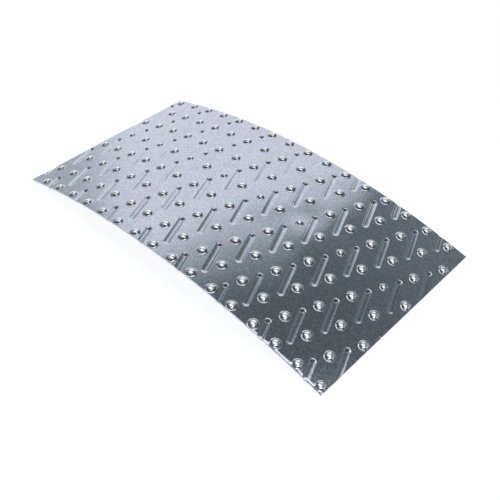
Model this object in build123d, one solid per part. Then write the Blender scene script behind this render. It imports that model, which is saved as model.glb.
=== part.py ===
from build123d import *
import math
import os

# Embossed nail plate: one sheared piece of galvanised sheet steel, bent to a shallow
# arch along its length.  Round bosses are pressed up out of it in staggered rows, and
# long slanted grooves are pressed down between them.  The underside shows the same
# pressing the other way round: a hollow under each boss and a rib under each groove.
#
# Frame: X along the length, Y across the width, Z up, origin on the ground under the
# middle of the plate.  It lies as it comes to rest, crown up, on its two ends.
# The arch is made of flat strips half a pitch long, with a column of bosses on each, so
# that every face of the pressing is flat.
# All sizes are in millimetres.

# Sheet
LENGTH = 206.0             # along the arch, from end to end
WIDTH = 108.0
THICKNESS = 1.0
ARCH_RADIUS = 379.4        # of the upper face, to the seams between its strips

# Layout of the pressing
PITCH = 12.8               # from boss to boss along a row
ROW_PITCH = 15.26          # from row to row
EDGE_ROW_GAP = 13.0        # the two outermost rows of bosses stand closer in
ROWS = 8
BOSSES_PER_ROW = 16
END_MARGIN = 2.7           # from the right-hand end to the last boss of an even row

# Boss: rings of (radius, height above the upper face), and its tip
BOSS_SIDES = 8
BOSS_RINGS = ((2.7, 0.0), (1.85, 0.8))
BOSS_HEIGHT = 1.15
WORN_ROW = 4               # every second boss of this row comes from a worn punch
WORN_SIZE = 0.78           # of such a boss, against the others

# Hollow under a boss: rings of (radius, height above the lower face)
HOLLOW_SIDES = 6
HOLLOW_RINGS = ((2.15, 0.0), (1.05, 1.05))

# Groove: rings of (length, width, depth below the upper face)
GROOVE_RINGS = ((20.0, 3.9, 0.0), (17.0, 0.9, 0.7))

# Rib under a groove: rings of (length, width, depth below the lower face)
RIB_RINGS = ((19.6, 3.5, 0.0), (17.4, 1.3, 0.7))

OVERRUN = 0.05             # how far a tool reaches past the face that it starts from
TRIM_ROOM = 3.0            # room above and below the sheet in the trimming block

GROOVE_TURN = 90 + math.degrees(math.atan2(PITCH / 2, ROW_PITCH))


def polygon_face(points):
    return Face(Wire.make_polygon(points, close=True))


def seam_angles():
    """Angles of the seams between the arch's strips, and of its two ends, left to right."""
    strip = PITCH / 2
    last_seam = LENGTH / 2 - END_MARGIN - strip / 2
    count = int((last_seam + LENGTH / 2) / strip) + 1
    seams = [last_seam - k * strip for k in reversed(range(count))]
    return [along / ARCH_RADIUS for along in (-LENGTH / 2, *seams, LENGTH / 2)]


def arch_block(inner_radius, outer_radius):
    """Block between two radii of the arch, as long and as wide as the sheet."""
    angles = seam_angles()
    upper = [(outer_radius * math.sin(a), 0, outer_radius * math.cos(a)) for a in angles]
    lower = [(inner_radius * math.sin(a), 0, inner_radius * math.cos(a)) for a in reversed(angles)]
    profile = polygon_face([Vector(*point) for point in upper + lower])
    return extrude(profile, WIDTH / 2, dir=(0, 1, 0), both=True)


def on_sheet(along, across, turn=0.0, below=0.0):
    """Place on the arch, some way below its upper face, with Z as the outward normal."""
    angle = along / ARCH_RADIUS
    radius = ARCH_RADIUS - below
    position = (radius * math.sin(angle), across, radius * math.cos(angle))
    return Location(position, (0, math.degrees(angle), 0)) * Location((0, 0, 0), (0, 0, turn))


def faceted(rings, tip=None):
    """Solid with flat facets between matching rings of points, under a tip or a flat."""
    count = len(rings[0])
    sides = [(k, (k + 1) % count) for k in range(count)]
    faces = [polygon_face(rings[0])]
    for low, high in zip(rings, rings[1:]):
        faces += [polygon_face([low[a], low[b], high[b], high[a]]) for a, b in sides]
    last = rings[-1]
    if tip is None:
        faces.append(polygon_face(last))
    else:
        faces += [polygon_face([last[a], last[b], tip]) for a, b in sides]
    return Solid(Shell(faces))


def round_ring(sides, radius, height):
    """Corners of a regular polygon, with flats that face along X."""
    step = 2 * math.pi / sides
    angles = [(k + 0.5) * step for k in range(sides)]
    return [Vector(radius * math.cos(a), radius * math.sin(a), height) for a in angles]


def long_ring(length, width, height):
    """Corners of a long outline along X with pointed ends."""
    tip = length / 2
    half = width / 2
    shoulder = tip - half
    front = ((shoulder, half), (-shoulder, half), (-tip, 0))
    outline = front + tuple((-x, -y) for x, y in front)
    return [Vector(x, y, height) for x, y in outline]


def overrun(first, second):
    """The first ring's sizes and height, carried back past its face on the same slope."""
    rise = second[-1] - first[-1]
    share = OVERRUN / abs(rise)
    return tuple(a - (b - a) * share for a, b in zip(first, second))


def boss():
    start = overrun(*BOSS_RINGS)
    rings = [round_ring(BOSS_SIDES, *size) for size in (start,) + BOSS_RINGS[1:]]
    return faceted(rings, Vector(0, 0, BOSS_HEIGHT))


def hollow():
    start = overrun(*HOLLOW_RINGS)
    return faceted([round_ring(HOLLOW_SIDES, *size) for size in (start,) + HOLLOW_RINGS[1:]])


def trough(rings):
    """Long tool that narrows downwards from the face that it starts from."""
    start = overrun(*rings)
    return faceted([long_ring(length, width, -depth) for length, width, depth in (start,) + rings[1:]])


def boss_places():
    """(along, across, size) of every boss, with 1 as full size."""
    outermost = (ROWS - 3) / 2 * ROW_PITCH + EDGE_ROW_GAP
    last_of_even_row = LENGTH / 2 - END_MARGIN
    for row in range(ROWS):
        even_spacing = (row - (ROWS - 1) / 2) * ROW_PITCH
        across = max(-outermost, min(outermost, even_spacing))
        last = last_of_even_row - row % 2 * PITCH / 2
        for k in range(BOSSES_PER_ROW):
            size = WORN_SIZE if row == WORN_ROW and k % 2 else 1.0
            yield last - k * PITCH, across, size


def groove_places():
    """(along, across) of every groove that reaches the sheet: one to every second gap."""
    first = LENGTH / 2 - END_MARGIN - PITCH / 2
    length, width = GROOVE_RINGS[0][:2]
    lean = math.radians(GROOVE_TURN)
    reach = abs((length - width) / 2 * math.cos(lean)) + width / 2 * math.sin(lean)
    for row in range(ROWS):
        across = (row - (ROWS - 1) / 2) * ROW_PITCH
        for k in range(-1, ROWS * 2):
            along = first + row * PITCH / 2 - k * PITCH * 2
            if abs(along) < LENGTH / 2 + reach:
                yield along, across


def pressed_sheet():
    sheet = arch_block(ARCH_RADIUS - THICKNESS, ARCH_RADIUS)
    trim = arch_block(ARCH_RADIUS - THICKNESS - TRIM_ROOM, ARCH_RADIUS + TRIM_ROOM)
    boss_tool = boss()
    hollow_tool = hollow()
    groove_tool = trough(GROOVE_RINGS)
    rib_tool = trough(RIB_RINGS)
    bosses = [on_sheet(s, y) * scale(boss_tool, size) for s, y, size in boss_places()]
    hollows = [on_sheet(s, y, below=THICKNESS) * scale(hollow_tool, size) for s, y, size in boss_places()]
    grooves = [on_sheet(s, y, GROOVE_TURN) * groove_tool for s, y in groove_places()]
    ribs = [on_sheet(s, y, GROOVE_TURN, THICKNESS) * rib_tool & trim for s, y in groove_places()]
    return sheet + bosses + ribs - hollows - grooves


plate = pressed_sheet()
plate = Pos(0, 0, -plate.bounding_box().min.Z) * plate

os.makedirs("parts", exist_ok=True)
export_step(plate, "parts/nail_plate.step")
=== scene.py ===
import math

import bpy
import numpy as np
from mathutils import Matrix, Vector
from mathutils.geometry import delaunay_2d_cdt


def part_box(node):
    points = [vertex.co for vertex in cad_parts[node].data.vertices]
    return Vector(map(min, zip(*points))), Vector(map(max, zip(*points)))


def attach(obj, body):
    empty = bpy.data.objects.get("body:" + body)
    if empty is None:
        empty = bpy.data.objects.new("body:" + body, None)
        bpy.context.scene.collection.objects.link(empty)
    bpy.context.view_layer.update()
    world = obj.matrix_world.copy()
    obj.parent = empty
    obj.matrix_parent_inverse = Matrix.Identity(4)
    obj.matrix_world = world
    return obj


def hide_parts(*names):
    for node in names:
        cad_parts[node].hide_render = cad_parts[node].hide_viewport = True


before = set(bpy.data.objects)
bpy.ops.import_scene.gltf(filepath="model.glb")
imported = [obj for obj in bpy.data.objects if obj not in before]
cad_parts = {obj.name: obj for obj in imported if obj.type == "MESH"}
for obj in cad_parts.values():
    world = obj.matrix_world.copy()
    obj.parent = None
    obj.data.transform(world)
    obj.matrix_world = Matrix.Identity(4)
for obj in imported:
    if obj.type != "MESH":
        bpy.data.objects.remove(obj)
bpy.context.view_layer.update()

# The plate as it looks.  One mesh takes the place of the plain solid: its bosses, grooves,
# hollows and ribs are rounded, and it has the dents and the rolled edge of this one plate.
# A place on the sheet is (along the arch, across it), from the middle of the sheet.
# All sizes are in metres, apart from the radii of the profiles.

# The sheet and the layout of its pressing, with the same named sizes as the source's
LENGTH = 0.2060
WIDTH = 0.108
THICKNESS = 0.001
ARCH_RADIUS = 0.3794
PITCH = 0.0128
ROW_PITCH = 0.01526
EDGE_ROW_GAP = 0.0130
ROWS = 8
BOSSES_PER_ROW = 16
END_MARGIN = 0.0027
BOSS_HEIGHT = 0.00115
WORN_ROW = 4
WORN_SIZE = 0.78

HALF_L = LENGTH / 2
HALF_W = WIDTH / 2
MM = 0.001

low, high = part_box("nail_plate")
CROWN = high.z - BOSS_HEIGHT        # height of the upper face at the crown

# Profiles of the pressed forms: (radius in mm, fall of the face there)
DOME_SLOPES = (
    (0.0, 0.0), (0.5, 0.28), (1.15, 0.25), (1.6, 0.84), (2.0, 0.66), (2.4, 0.48), (2.9, 0.0),
)
HOLLOW_SLOPES = ((0.0, 0.0), (0.8, 0.20), (1.2, 0.80), (1.7, 0.95), (2.1, 0.70), (2.5, 0.0))
GROOVE_SLOPES = ((0.0, 0.0), (1.45, 0.38), (1.9, 0.0))
RIB_SLOPES = ((0.0, 0.0), (1.3, 0.76), (1.85, 0.0))
PROFILE_STEPS = 300
PROFILE_BLUR = 25                   # steps over which the corners of a profile are rounded

GROOVE_REACH = 0.0082               # from a groove's middle to the centre of its round end
GROOVE_OVERHANG = 0.0052            # how far past an end the middle of the last groove may lie
PRICK_REACH = 0.0088                # to the deeper dimple at the far end of a groove
PRICK_RADIUS = 0.0011
PRICK_DEPTH = 0.0003

# Slow waves, which die out towards the ends: the height of each, and the two crossing waves
# that make it, as (radians per metre along, and across, phase)
WAVES = (
    (0.000018, (128, 41, 0.6), (-22, 88, 1.9)),
    (0.000012, (233, -96, 2.2), (47, 171, math.pi / 2)),
)
CALM_END = 0.02                     # length over which the waves die out

# Slow dents: (along, across, radius, depth)
DENTS = (
    (0.0345, 0.0135, 0.0065, 0.00017), (0.0425, 0.0015, 0.009, -0.00016),
    (0.058, 0.019, 0.008, 0.00015), (0.022, -0.006, 0.008, 0.00012),
    (0.0215, 0.010, 0.006, -0.00010), (0.064, -0.012, 0.010, 0.00012),
    (-0.030, 0.020, 0.012, 0.00010), (-0.062, -0.010, 0.013, -0.00010),
    (0.084, -0.030, 0.009, 0.00010),
)

# The near edge is rolled over by the shear, more and more towards its right-hand end
CURL_START = 0.058
CURL_GROWTH = 0.02                  # length over which the roll comes to its full depth
CURL_WIDTH = 0.0012
CURL_DROP = 0.00028
CURL_RIPPLE = 520                   # waves of the rolled edge, in radians per metre
CURL_RIPPLE_SHARE = 0.15

EDGE_ROUND = 0.00012                # radius of the cut edge
EDGE_CUT = 0.29 * EDGE_ROUND        # what the rounding takes off half way round

GROOVE_DIR = np.array([-PITCH / 2, ROW_PITCH])
GROOVE_DIR = GROOVE_DIR / np.hypot(*GROOVE_DIR)
GROOVE_SIDE = np.array([GROOVE_DIR[1], -GROOVE_DIR[0]])


# ---- The layout of the pressing ----

def boss_places():
    """(along, across, size) of every boss, with 1 as full size."""
    outermost = (ROWS - 3) / 2 * ROW_PITCH + EDGE_ROW_GAP
    for row in range(ROWS):
        across = (row - (ROWS - 1) / 2) * ROW_PITCH
        across = max(-outermost, min(outermost, across))
        last = HALF_L - END_MARGIN - row % 2 * PITCH / 2
        for k in range(BOSSES_PER_ROW):
            yield last - k * PITCH, across, WORN_SIZE if row == WORN_ROW and k % 2 else 1.0


def groove_places():
    """(along, across) of every groove that reaches the sheet."""
    first = HALF_L - END_MARGIN - PITCH / 2
    for row in range(ROWS):
        for k in range(-1, ROWS * 2):
            along = first + row * PITCH / 2 - k * PITCH * 2
            if abs(along) < HALF_L + GROOVE_OVERHANG:
                yield along, (row - (ROWS - 1) / 2) * ROW_PITCH


BOSSES = np.array(list(boss_places()))
GROOVES = np.array(list(groove_places()))


# ---- Heights of the two faces ----

def profile(slopes):
    """Radii of a round form, and its height at each, from the slopes of its face."""
    radii = np.linspace(0, slopes[-1][0], PROFILE_STEPS)
    fall = np.interp(radii, *zip(*slopes))
    fall = np.pad(fall, PROFILE_BLUR // 2, mode="edge")
    fall = np.convolve(fall, np.ones(PROFILE_BLUR) / PROFILE_BLUR, mode="valid")
    height = np.cumsum(fall) * (radii[1] - radii[0])
    return radii * MM, (height[-1] - height) * MM


DOME = profile(DOME_SLOPES)
HOLLOW = profile(HOLLOW_SLOPES)
GROOVE = profile(GROOVE_SLOPES)
RIB = profile(RIB_SLOPES)


def within(points, centre, half_u, half_v):
    """Which points lie in a box about a centre."""
    offset = np.abs(points - centre)
    return (offset[:, 0] < half_u) & (offset[:, 1] < half_v)


def groove_distance(points, groove):
    """Distance from each point to the line through the middle of a groove."""
    offset = points - groove
    past = np.maximum(np.abs(offset @ GROOVE_DIR) - GROOVE_REACH, 0)
    return np.hypot(offset @ GROOVE_SIDE, past)


def waviness(points):
    """Slow unevenness, dents and the rolled near edge."""
    u, v = points[:, 0], points[:, 1]
    height = np.zeros(len(points))
    for size, *pair in WAVES:
        first, second = [np.sin(u * along + v * across + phase) for along, across, phase in pair]
        height += size * first * second
    height *= np.clip((HALF_L - np.abs(u)) / CALM_END, 0, 1)
    for along, across, radius, depth in DENTS:
        height -= depth * np.exp(-((u - along) ** 2 + (v - across) ** 2) / radius ** 2)
    roll = np.clip((u - CURL_START) / CURL_GROWTH, 0, 1)
    roll *= 1 - CURL_RIPPLE_SHARE + CURL_RIPPLE_SHARE * np.sin(u * CURL_RIPPLE)
    near_edge = np.clip(1 - (v + HALF_W) / CURL_WIDTH, 0, 1)
    return height - CURL_DROP * roll * near_edge ** 2


def relief(points, dome):
    """Bosses, above the face, and the dimples at the far ends of the grooves, below it."""
    height = np.zeros(len(points))
    radii, rises = dome
    for along, across, size in BOSSES:
        near = within(points, (along, across), radii[-1], radii[-1])
        distance = np.hypot(points[near, 0] - along, points[near, 1] - across)
        height[near] += size * np.interp(distance / size, radii, rises)
    for groove in GROOVES:
        centre = groove + GROOVE_DIR * PRICK_REACH
        near = within(points, centre, PRICK_RADIUS, PRICK_RADIUS)
        distance = np.linalg.norm(points[near] - centre, axis=1)
        share = np.clip(distance / PRICK_RADIUS, 0, 1)
        height[near] -= PRICK_DEPTH * (1 + np.cos(math.pi * share)) / 2
    return height


def press(points, dome, channel):
    """Height of a pressed face at each point, against the plain arch."""
    height = waviness(points) + relief(points, dome)
    distances, depths = channel
    half_u, half_v = np.abs(GROOVE_DIR) * GROOVE_REACH + distances[-1]
    for groove in GROOVES:
        near = within(points, groove, half_u, half_v)
        height[near] -= np.interp(groove_distance(points[near], groove), distances, depths)
    return height


def upper_height(points):
    return press(points, DOME, GROOVE)


def lower_height(points):
    return press(points, HOLLOW, RIB) - THICKNESS


# ---- Where the mesh has its points ----

def both_sides(*offsets):
    return 0, *(side * offset for offset in offsets for side in (1, -1))


# Net of each face: rings round a boss as (radius, points), rows of points beside the middle
# of a groove, their step along it, the step of the wide net between, and whether the face
# has points of its own for the dimples
UPPER_NET = {
    "rings": (
        (0.00035, 6), (0.0007, 10), (0.00105, 14), (0.0014, 18), (0.0017, 20), (0.00195, 22),
        (0.00215, 24), (0.00235, 24), (0.0026, 24), (0.0029, 22), (0.0034, 18),
    ),
    "beside": both_sides(0.0005, 0.0010, 0.00135, 0.00165, 0.00195),
    "along_step": 0.0009,
    "flat_step": 0.0022,
    "dimples": True,
}
LOWER_NET = {
    "rings": (
        (0.0006, 8), (0.0011, 12), (0.0015, 16), (0.00175, 18), (0.00195, 18), (0.0022, 18),
        (0.0027, 14),
    ),
    "beside": both_sides(0.0006, 0.0012, 0.0018),
    "along_step": 0.0014,
    "flat_step": 0.003,
    "dimples": False,
}
BORDER_STEP = 0.0007
BORDER_GAP = 0.0002                 # between the border and the first points inside of it
RING_SPACING = 0.00012
GROOVE_SPACING = 0.00025
GROOVE_END_STEP = 0.00035           # between the points round the end of a groove
PRICK_RINGS = (0.0004, 0.0008)      # their points alternate
PRICK_POINTS = 12                   # to a full turn
PRICK_SPACING = 0.00015
CURL_ROWS = (0.0004, 0.0007, 0.001, 0.0014, 0.0019)     # in from the near edge
CURL_STEP = 0.0006
CURL_LEAD = 0.001                   # how far ahead of the roll its rows begin
FLAT_SPACING = 0.6                  # of the wide net, against its step


class PointSet:
    """Points inside the border, kept apart by their own spacing with a grid of cells."""

    CELL = 0.001

    def __init__(self, border):
        self.grid = {}
        self.points = []
        for u, v in border:
            self.keep(u, v)

    def cell(self, u, v):
        return int(math.floor(u / self.CELL)), int(math.floor(v / self.CELL))

    def keep(self, u, v):
        self.grid.setdefault(self.cell(u, v), []).append((u, v))
        self.points.append((u, v))

    def crowded(self, u, v, spacing):
        i, j = self.cell(u, v)
        reach = int(math.ceil(spacing / self.CELL))
        for a in range(i - reach, i + reach + 1):
            for b in range(j - reach, j + reach + 1):
                for x, y in self.grid.get((a, b), ()):
                    if (x - u) ** 2 + (y - v) ** 2 < spacing * spacing:
                        return True
        return False

    def add(self, u, v, spacing):
        margin = EDGE_ROUND + BORDER_GAP
        inside = abs(u) < HALF_L - margin and abs(v) < HALF_W - margin
        if inside and not self.crowded(u, v, spacing):
            self.keep(u, v)


def perimeter(step):
    half_l, half_w = HALF_L - EDGE_ROUND, HALF_W - EDGE_ROUND
    nu, nv = round(2 * half_l / step), round(2 * half_w / step)
    loop = [(-half_l + 2 * half_l * i / nu, -half_w) for i in range(nu)]
    loop += [(half_l, -half_w + 2 * half_w * i / nv) for i in range(nv)]
    loop += [(half_l - 2 * half_l * i / nu, half_w) for i in range(nu)]
    loop += [(-half_l, half_w - 2 * half_w * i / nv) for i in range(nv)]
    return loop


def add_boss_points(found, rings):
    for along, across, size in BOSSES:
        found.add(along, across, 0)
        for k, (radius, count) in enumerate(rings):
            for m in range(count):
                angle = 2 * math.pi * (m + 0.5 * (k % 2)) / count
                u = along + size * radius * math.cos(angle)
                v = across + size * radius * math.sin(angle)
                found.add(u, v, RING_SPACING)


def add_groove_points(found, beside, along_step):
    steps = round(2 * GROOVE_REACH / along_step)
    for groove in GROOVES:
        for offset in beside:
            for m in range(steps + 1):
                along = GROOVE_REACH * (2 * m / steps - 1)
                found.add(*(groove + GROOVE_DIR * along + GROOVE_SIDE * offset), GROOVE_SPACING)
            if offset > 0:
                add_groove_ends(found, groove, offset)


def add_groove_ends(found, groove, radius):
    """Points at a radius about the centres of both round ends of a groove."""
    count = max(6, round(2 * math.pi * radius / GROOVE_END_STEP))
    for m in range(count):
        angle = 2 * math.pi * m / count
        ray = GROOVE_DIR * math.cos(angle) + GROOVE_SIDE * math.sin(angle)
        end = GROOVE_DIR * math.copysign(GROOVE_REACH, math.cos(angle))
        found.add(*(groove + end + ray * radius), GROOVE_SPACING)


def add_dimple_points(found):
    for groove in GROOVES:
        for m in range(2 * PRICK_POINTS):
            angle = 2 * math.pi * m / PRICK_POINTS
            ray = np.array([math.cos(angle), math.sin(angle)])
            found.add(*(groove + GROOVE_DIR * PRICK_REACH + PRICK_RINGS[m % 2] * ray), PRICK_SPACING)


def add_curl_points(found):
    start = CURL_START - CURL_LEAD
    for row, inset in enumerate(CURL_ROWS):
        for m in range(int((HALF_L - start) / CURL_STEP)):
            found.add(start + CURL_STEP * (m + 0.5 * (row % 2)), -HALF_W + inset, GROOVE_SPACING)


def add_flat_points(found, step):
    rows = int(WIDTH / (step * 0.87))       # near the height of an even triangle
    count = int(LENGTH / step)
    for j in range(rows + 1):
        for i in range(count + 1):
            along = -HALF_L + LENGTH * (i + 0.5 * (j % 2)) / count
            found.add(along, -HALF_W + WIDTH * j / rows, step * FLAT_SPACING)


def face_points(border, rings, beside, along_step, flat_step, dimples):
    """Points of one face, with those of the border first."""
    found = PointSet(border)
    add_boss_points(found, rings)
    add_groove_points(found, beside, along_step)
    if dimples:
        add_dimple_points(found)
    add_curl_points(found)
    add_flat_points(found, flat_step)
    return np.array(found.points)


# ---- From the sheet to the frame ----

def to_frame(points, height):
    angle = points[:, 0] / ARCH_RADIUS
    radius = ARCH_RADIUS + height
    x = radius * np.sin(angle)
    z = radius * np.cos(angle) - ARCH_RADIUS + CROWN
    return np.stack([x, points[:, 1], z], axis=1)


def normals(points, height_of, up):
    """Normals of a face, from the slopes of its own heights."""
    step = 0.00004
    du, dv = np.array([step, 0]), np.array([0, step])
    slope_u = (height_of(points + du) - height_of(points - du)) / (2 * step)
    slope_v = (height_of(points + dv) - height_of(points - dv)) / (2 * step)
    angle = points[:, 0] / ARCH_RADIUS
    c, s = np.cos(angle), np.sin(angle)
    n = np.stack([-slope_u * c + s, -slope_v, slope_u * s + c], axis=1)
    return up * n / np.linalg.norm(n, axis=1)[:, None]


# ---- The mesh ----

def triangles(points, border_count):
    """Triangles over a face, as the indices of its points."""
    edges = [(k, (k + 1) % border_count) for k in range(border_count)]
    in_mm = [Vector(point / MM) for point in points]
    _, _, faces, origin = delaunay_2d_cdt(in_mm, edges, [], 1, 1e-7)[:4]
    return [[origin[i][0] for i in face] for face in faces]


def cut_edge(border, upper_h, lower_h):
    """Rings of points down the cut edge, which is rounded at the top and at the bottom."""
    inner = np.array([HALF_L - EDGE_ROUND, HALF_W - EDGE_ROUND])
    on_side = np.isclose(np.abs(border), inner, atol=1e-7)
    rings = (
        (EDGE_CUT, upper_h - EDGE_CUT), (0.0, upper_h - EDGE_ROUND),
        (0.0, lower_h + EDGE_ROUND), (EDGE_CUT, lower_h + EDGE_CUT),
    )
    for inset, height in rings:
        outer = np.sign(border) * (inner + EDGE_ROUND - inset)
        yield to_frame(np.where(on_side, outer, border), height)


def build_plate():
    border = perimeter(BORDER_STEP)
    count = len(border)
    upper, lower = face_points(border, **UPPER_NET), face_points(border, **LOWER_NET)
    upper_h, lower_h = upper_height(upper), lower_height(lower)
    parts = [to_frame(upper, upper_h), to_frame(lower, lower_h)]
    parts += cut_edge(upper[:count], upper_h[:count], lower_h[:count])
    starts = [0, *np.cumsum([len(part) for part in parts]).tolist()]
    points = np.concatenate(parts)
    points[:, 2] = np.clip(points[:, 2], low.z, high.z)

    faces = triangles(upper, count)
    faces += [[starts[1] + i for i in reversed(face)] for face in triangles(lower, count)]
    levels = [0, *starts[2:-1], starts[1]]
    for a, b in zip(levels, levels[1:]):
        for k in range(count):
            m = (k + 1) % count
            faces.append([a + k, b + k, b + m, a + m])

    mesh = bpy.data.meshes.new("nail_plate_sheet")
    mesh.from_pydata(points.tolist(), [], faces)
    mesh.polygons.foreach_set("use_smooth", [True] * len(faces))
    mesh.update()

    # The two faces have the normals of their true shapes, and the cut edge has the mesh's own.
    computed = np.zeros(len(points) * 3)
    mesh.vertices.foreach_get("normal", computed)
    vertex_normals = computed.reshape(-1, 3)
    vertex_normals[:starts[1]] = normals(upper, upper_height, 1)
    vertex_normals[starts[1]:starts[2]] = normals(lower, lower_height, -1)
    mesh.normals_split_custom_set_from_vertices(vertex_normals.tolist())

    # The material finds the tops and flanks of the bosses, and the dimples, by their height in mm, and
    # paints a highlight on the tops and shade on the flanks and in the dimples.
    rise = np.zeros(len(points))
    rise[:len(upper)] = relief(upper, DOME) / MM
    mesh.attributes.new("rise", "FLOAT", "POINT").data.foreach_set("value", rise)
    return mesh


# ---- Nodes ----

class Graph:
    """Short forms for the nodes of a material or of the world."""

    def __init__(self, tree):
        self.nodes, self.links = tree.nodes, tree.links

    def put(self, socket, value):
        if isinstance(value, bpy.types.NodeSocket):
            self.links.new(value, socket)
        else:
            socket.default_value = value

    def calc(self, operation, a, b=0.0):
        node = self.nodes.new("ShaderNodeMath")
        node.operation = operation
        self.put(node.inputs[0], a)
        self.put(node.inputs[1], b)
        return node.outputs[0]

    def times(self, *values):
        product = values[0]
        for value in values[1:]:
            product = self.calc("MULTIPLY", product, value)
        return product

    def ease(self, value, start, end, low=0.0, high=1.0):
        node = self.nodes.new("ShaderNodeMapRange")
        node.interpolation_type = "SMOOTHSTEP"
        for socket, given in zip(node.inputs[:5], (value, start, end, low, high)):
            self.put(socket, given)
        return node.outputs[0]

    def band(self, value, start, full, still, end):
        """0 up to the start, 1 from full to still, and 0 again from the end on."""
        return self.times(self.ease(value, start, full), self.ease(value, still, end, 1.0, 0.0))

    def ellipse(self, x, y, centre, half_sizes, turn):
        """Distance from the centre of an ellipse, which is 1 at its edge."""
        a, b = self.calc("SUBTRACT", x, centre[0]), self.calc("SUBTRACT", y, centre[1])
        c, s = math.cos(turn), math.sin(turn)
        half_x, half_y = half_sizes
        u = self.calc("ADD", self.times(a, c / half_x), self.times(b, s / half_x))
        v = self.calc("ADD", self.times(a, -s / half_y), self.times(b, c / half_y))
        return self.calc("SQRT", self.calc("ADD", self.times(u, u), self.times(v, v)))

    def mix(self, share, a, b, blend="MIX"):
        node = self.nodes.new("ShaderNodeMix")
        node.data_type = "RGBA"
        node.blend_type = blend
        self.put(node.inputs[0], share)
        self.put(node.inputs[6], a)
        self.put(node.inputs[7], b)
        return node.outputs[2]

    def noise(self, vector, scale, detail, roughness):
        node = self.nodes.new("ShaderNodeTexNoise")
        self.put(node.inputs["Vector"], vector)
        self.put(node.inputs["Scale"], scale)
        self.put(node.inputs["Detail"], detail)
        self.put(node.inputs["Roughness"], roughness)
        return node.outputs[0]


# ---- Galvanised steel ----

DARK_GRAIN = (0.465, 0.49, 0.54, 1)
PALE_GRAIN = (0.685, 0.715, 0.785, 1)
CLOUD = (0.50, 0.52, 0.535, 1)
ROLLING_LINE = (0.78, 0.79, 0.80, 1)
STAIN = (0.36, 0.25, 0.17, 1)
BARE = (0.90, 0.90, 0.90, 1)
# painted shade: dark colour for the flanks of the bosses
PAINTED_FLANK_SHADE = (0.16, 0.165, 0.175, 1)
# painted shade: near-black colour for the dimples at the far ends of the grooves
PAINTED_DIMPLE_SHADE = (0.07, 0.072, 0.078, 1)
# painted highlight: near-white colour for the tops of the bosses
PAINTED_TOP_HIGHLIGHT = (0.94, 0.95, 0.96, 1)

# Marks on the sheet: (centre, half sizes, turn)
STAIN_PLACE = ((0.0883, -0.0237), (0.0030, 0.0022), 0.5)
SCRATCHES = (
    ((0.0859, -0.0391), (0.0032, 0.00022), 0.0),
    ((0.0811, 0.0229), (0.0018, 0.0002), 0.7),
    ((0.0898, 0.0309), (0.0015, 0.0002), -0.5),
)


def galvanised():
    material = bpy.data.materials.new("galvanised_steel")
    material.use_nodes = True
    graph = Graph(material.node_tree)
    nodes = graph.nodes
    shader = nodes["Principled BSDF"]
    place = nodes.new("ShaderNodeTexCoord").outputs["Object"]
    split = nodes.new("ShaderNodeSeparateXYZ")
    graph.put(split.inputs[0], place)

    def mark(centre, half_sizes, turn):
        """1 in the middle of a mark, falling to 0 at its edge."""
        return graph.ease(graph.ellipse(*split.outputs[:2], centre, half_sizes, turn), 1.0, 0.3)

    attribute = nodes.new("ShaderNodeAttribute")
    attribute.attribute_name = "rise"
    rise = attribute.outputs["Fac"]
    top_highlight = graph.ease(rise, 0.60, 0.78)                   # painted highlight: the top of a boss made near white
    flank_shade = graph.band(rise, 0.14, 0.30, 0.50, 0.68)        # painted shade: the flank of a boss made dark
    pricked = graph.ease(rise, -0.02, -0.09)                # painted shade in the dimple at the far end of a groove

    grain = graph.noise(place, 1300.0, 2.0, 0.6)
    clouds = graph.noise(place, 46.0, 3.0, 0.55)
    spangle = nodes.new("ShaderNodeTexVoronoi")
    graph.put(spangle.inputs["Vector"], place)
    graph.put(spangle.inputs["Scale"], 900.0)
    stretched = nodes.new("ShaderNodeVectorMath")
    stretched.operation = "MULTIPLY"
    graph.put(stretched.inputs[0], place)
    graph.put(stretched.inputs[1], (60.0, 2600.0, 60.0))
    lines = graph.noise(stretched.outputs[0], 1.0, 2.0, 0.5)
    stain = mark(*STAIN_PLACE)
    scratches = 0.0
    for scratch in SCRATCHES:
        scratches = graph.calc("MAXIMUM", mark(*scratch), scratches)

    colour = graph.mix(graph.ease(grain, 0.30, 0.70), DARK_GRAIN, PALE_GRAIN)
    colour = graph.mix(0.15, colour, spangle.outputs["Color"], "SOFT_LIGHT")
    colour = graph.mix(graph.ease(clouds, 0.48, 0.72, 0.0, 0.10), colour, CLOUD)
    colour = graph.mix(graph.ease(lines, 0.66, 0.76, 0.0, 0.25), colour, ROLLING_LINE)
    colour = graph.mix(graph.times(stain, 0.45), colour, STAIN)
    colour = graph.mix(graph.times(scratches, 0.8), colour, BARE)
    # Painted shade: the flanks of the bosses are darkened
    colour = graph.mix(graph.times(flank_shade, 0.85), colour, PAINTED_FLANK_SHADE)
    # Painted shade: the dimples at the far ends of the grooves are darkened
    colour = graph.mix(graph.times(pricked, 0.9), colour, PAINTED_DIMPLE_SHADE)
    # Painted highlight: the tops of the bosses are made near white
    colour = graph.mix(top_highlight, colour, PAINTED_TOP_HIGHLIGHT)
    graph.put(shader.inputs["Base Color"], colour)
    graph.put(shader.inputs["Metallic"], 1.0)

    roughness = graph.calc("ADD", graph.ease(clouds, 0.35, 0.70, 0.095, 0.115), graph.times(pricked, 0.35))
    roughness = graph.calc("ADD", roughness, graph.ease(grain, 0.35, 0.65, 0.0, 0.03))
    graph.put(shader.inputs["Roughness"], roughness)

    bump = nodes.new("ShaderNodeBump")
    graph.put(bump.inputs["Strength"], 0.25)
    graph.put(bump.inputs["Distance"], 0.00002)
    graph.put(bump.inputs["Height"], graph.calc("ADD", grain, graph.times(lines, 0.3)))
    graph.put(shader.inputs["Normal"], bump.outputs[0])
    return material


plate = bpy.data.objects.new("nail_plate_sheet", build_plate())
bpy.context.scene.collection.objects.link(plate)
plate.data.materials.append(galvanised())
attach(plate, "root")
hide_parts("nail_plate")


# ---- Floor ----

FLOOR_SIZE = 8.0
FLOOR_COLOUR = (0.5, 0.5, 0.5, 1)
FLOOR_GLOW = 0.74                   # with the light that falls on it, this brings it to white


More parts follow.
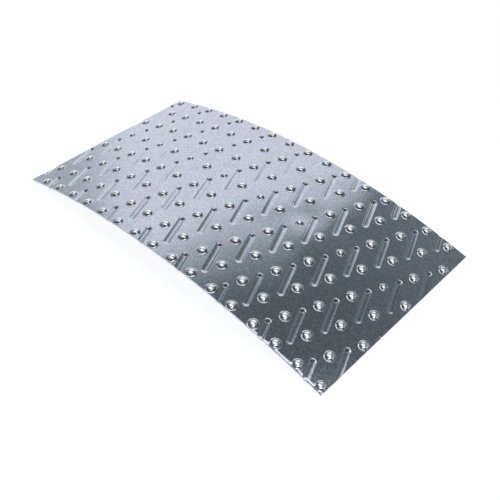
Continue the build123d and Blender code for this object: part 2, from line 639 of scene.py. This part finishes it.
def floor_material():
    """A grey floor that looks white to the camera and in reflections, and keeps its shadows."""
    material = bpy.data.materials.new("pale_floor")
    material.use_nodes = True
    graph = Graph(material.node_tree)
    nodes = graph.nodes
    nodes.clear()
    path = nodes.new("ShaderNodeLightPath").outputs
    seen = graph.calc("MAXIMUM", path["Is Camera Ray"], path["Is Glossy Ray"])
    seen = graph.calc("MAXIMUM", seen, path["Is Transmission Ray"])
    diffuse = nodes.new("ShaderNodeBsdfDiffuse")
    graph.put(diffuse.inputs["Color"], FLOOR_COLOUR)
    glow = nodes.new("ShaderNodeEmission")
    graph.put(glow.inputs["Strength"], graph.times(seen, FLOOR_GLOW))
    both = nodes.new("ShaderNodeAddShader")
    graph.put(both.inputs[0], diffuse.outputs[0])
    graph.put(both.inputs[1], glow.outputs[0])
    graph.put(nodes.new("ShaderNodeOutputMaterial").inputs["Surface"], both.outputs[0])
    return material


def make_floor():
    mesh = bpy.data.meshes.new("floor")
    half = FLOOR_SIZE / 2
    corners = [(-half, -half, 0), (half, -half, 0), (half, half, 0), (-half, half, 0)]
    mesh.from_pydata(corners, [], [(0, 1, 2, 3)])
    mesh.materials.append(floor_material())
    obj = bpy.data.objects.new("floor", mesh)
    obj.location = (0, 0, low.z)
    bpy.context.scene.collection.objects.link(obj)
    return obj


floor = make_floor()


# ---- World ----

PALE, DARK = 0.97, 0.122
PALE_TINT = (0.995, 1.0, 1.07, 1)
DARK_TINT = (0.85, 1.0, 1.05, 1)
GAP_CENTRE = (-0.13, 0.41)          # of the dark gap in the ceiling, on the flat map of the sky
GAP_TURN = 0.2


def pale_horizon(graph, turn, z):
    """A pale band that stands higher at the back left and lower at the back right."""
    back_left = graph.band(turn, 0.40, 0.56, 1.12, 1.38)
    back_right = graph.band(turn, 1.20, 1.45, 2.35, 2.65)
    top = graph.calc("ADD", graph.times(back_left, 0.30), graph.times(back_right, -0.34))
    top = graph.calc("ADD", top, 0.42)
    level = graph.ease(graph.calc("ABSOLUTE", graph.calc("SUBTRACT", turn, 1.8)), 1.41, 1.29, 0.56, 1.0)
    gone = graph.ease(z, graph.calc("SUBTRACT", top, 0.10), graph.calc("ADD", top, 0.15))
    return graph.times(level, graph.calc("SUBTRACT", 1.0, gone))


def gap_rim(graph, across, back):
    """A pale rim about the dark gap in the ceiling."""
    outer = graph.ellipse(across, back, GAP_CENTRE, (0.30, 0.26), GAP_TURN)
    inner = graph.ellipse(across, back, GAP_CENTRE, (0.34, 0.13), GAP_TURN)
    return graph.times(graph.ease(outer, 0.85, 1.15, 1.0, 0.0), graph.ease(inner, 0.88, 1.33))


def ceiling_panel(graph, across, back):
    """A long pale panel over the middle of the plate, with a slanted rear edge."""
    rear = graph.calc("SUBTRACT", back, graph.times(across, 0.25))
    sides = graph.band(across, -0.66, -0.56, 0.30, 0.40)
    return graph.times(sides, graph.ease(back, -0.13, -0.05), graph.ease(rear, 0.26, 0.16))


def make_world():
    """A dark sky with a pale horizon, rim and panel, which only the camera sees as white."""
    world = bpy.data.worlds.new("studio")
    bpy.context.scene.world = world
    world.use_nodes = True
    graph = Graph(world.node_tree)
    nodes = graph.nodes
    nodes.clear()

    split = nodes.new("ShaderNodeSeparateXYZ")
    graph.put(split.inputs[0], nodes.new("ShaderNodeTexCoord").outputs["Generated"])
    x, y, z = split.outputs
    turn = graph.calc("ARCTAN2", y, graph.times(x, -1.0))   # 0 at -X, a quarter turn at +Y
    shrink = graph.calc("SQRT", graph.calc("MAXIMUM", graph.calc("ADD", z, 1.0), 0.01))
    across, back = graph.calc("DIVIDE", x, shrink), graph.calc("DIVIDE", y, shrink)    # flat map

    front_glow = graph.ease(y, -0.25, -0.5, 0.0, 0.30)
    back_glow = graph.times(graph.ease(z, 0.92, 0.66, 0.0, 0.13), graph.ease(y, 0.0, 0.3))
    lit = pale_horizon(graph, turn, z)
    for other in (gap_rim(graph, across, back), ceiling_panel(graph, across, back), front_glow, back_glow):
        lit = graph.calc("MAXIMUM", lit, other)

    studio = nodes.new("ShaderNodeBackground")
    graph.put(studio.inputs["Color"], graph.mix(lit, DARK_TINT, PALE_TINT))
    graph.put(studio.inputs["Strength"], graph.calc("ADD", graph.times(lit, PALE - DARK), DARK))
    white = nodes.new("ShaderNodeBackground")
    graph.put(white.inputs["Color"], (1, 1, 1, 1))
    graph.put(white.inputs["Strength"], 1.0)
    mix = nodes.new("ShaderNodeMixShader")
    graph.put(mix.inputs[0], nodes.new("ShaderNodeLightPath").outputs["Is Camera Ray"])
    graph.put(mix.inputs[1], studio.outputs[0])
    graph.put(mix.inputs[2], white.outputs[0])
    graph.put(nodes.new("ShaderNodeOutputWorld").inputs["Surface"], mix.outputs[0])


make_world()


# ---- Lamps and camera ----

def facing(side, up, back, spot):
    """Matrix of a lamp or camera at a spot that looks away from its back direction."""
    return Matrix((
        (side.x, up.x, back.x, spot[0]), (side.y, up.y, back.y, spot[1]),
        (side.z, up.z, back.z, spot[2]), (0, 0, 0, 1),
    ))


def softbox(name, centre, along, width, depth, radiance):
    """A rectangular soft lamp of the given brightness that faces the plate."""
    light = bpy.data.lights.new(name, "AREA")
    light.shape = "RECTANGLE"
    light.size, light.size_y = width, depth
    light.energy = radiance * math.pi * width * depth
    obj = bpy.data.objects.new(name, light)
    back = Vector(centre).normalized()
    up = back.cross(Vector(along)).normalized()
    obj.matrix_world = facing(up.cross(back), up, back, centre)
    bpy.context.scene.collection.objects.link(obj)


softbox("overhead_softbox", (0.0, 0.12, 1.1), (1, 0, 0), 0.95, 0.34, 0.55)
softbox("front_softbox", (0.75, -0.55, 0.95), (1, 1, 0), 1.1, 0.30, 2.2)

CAMERA_LENS = 50.835                # mm, on a sensor 36 mm wide
CAMERA_SPOT = (0.19579, -0.18954, 0.22294 + CROWN)
CAMERA_SIDE = Vector((0.72206, 0.69174, -0.01134))
CAMERA_UP = Vector((-0.47308, 0.50564, 0.72147))
CAMERA_BACK = Vector((0.50481, -0.51558, 0.69235))


def make_camera():
    camera = bpy.data.cameras.new("camera")
    camera.sensor_width = 36
    camera.lens = CAMERA_LENS
    camera.clip_start = 0.01
    obj = bpy.data.objects.new("camera", camera)
    obj.matrix_world = facing(CAMERA_SIDE, CAMERA_UP, CAMERA_BACK, CAMERA_SPOT)
    bpy.context.scene.collection.objects.link(obj)
    bpy.context.scene.camera = obj


make_camera()
bpy.context.scene.view_settings.view_transform = "Standard"
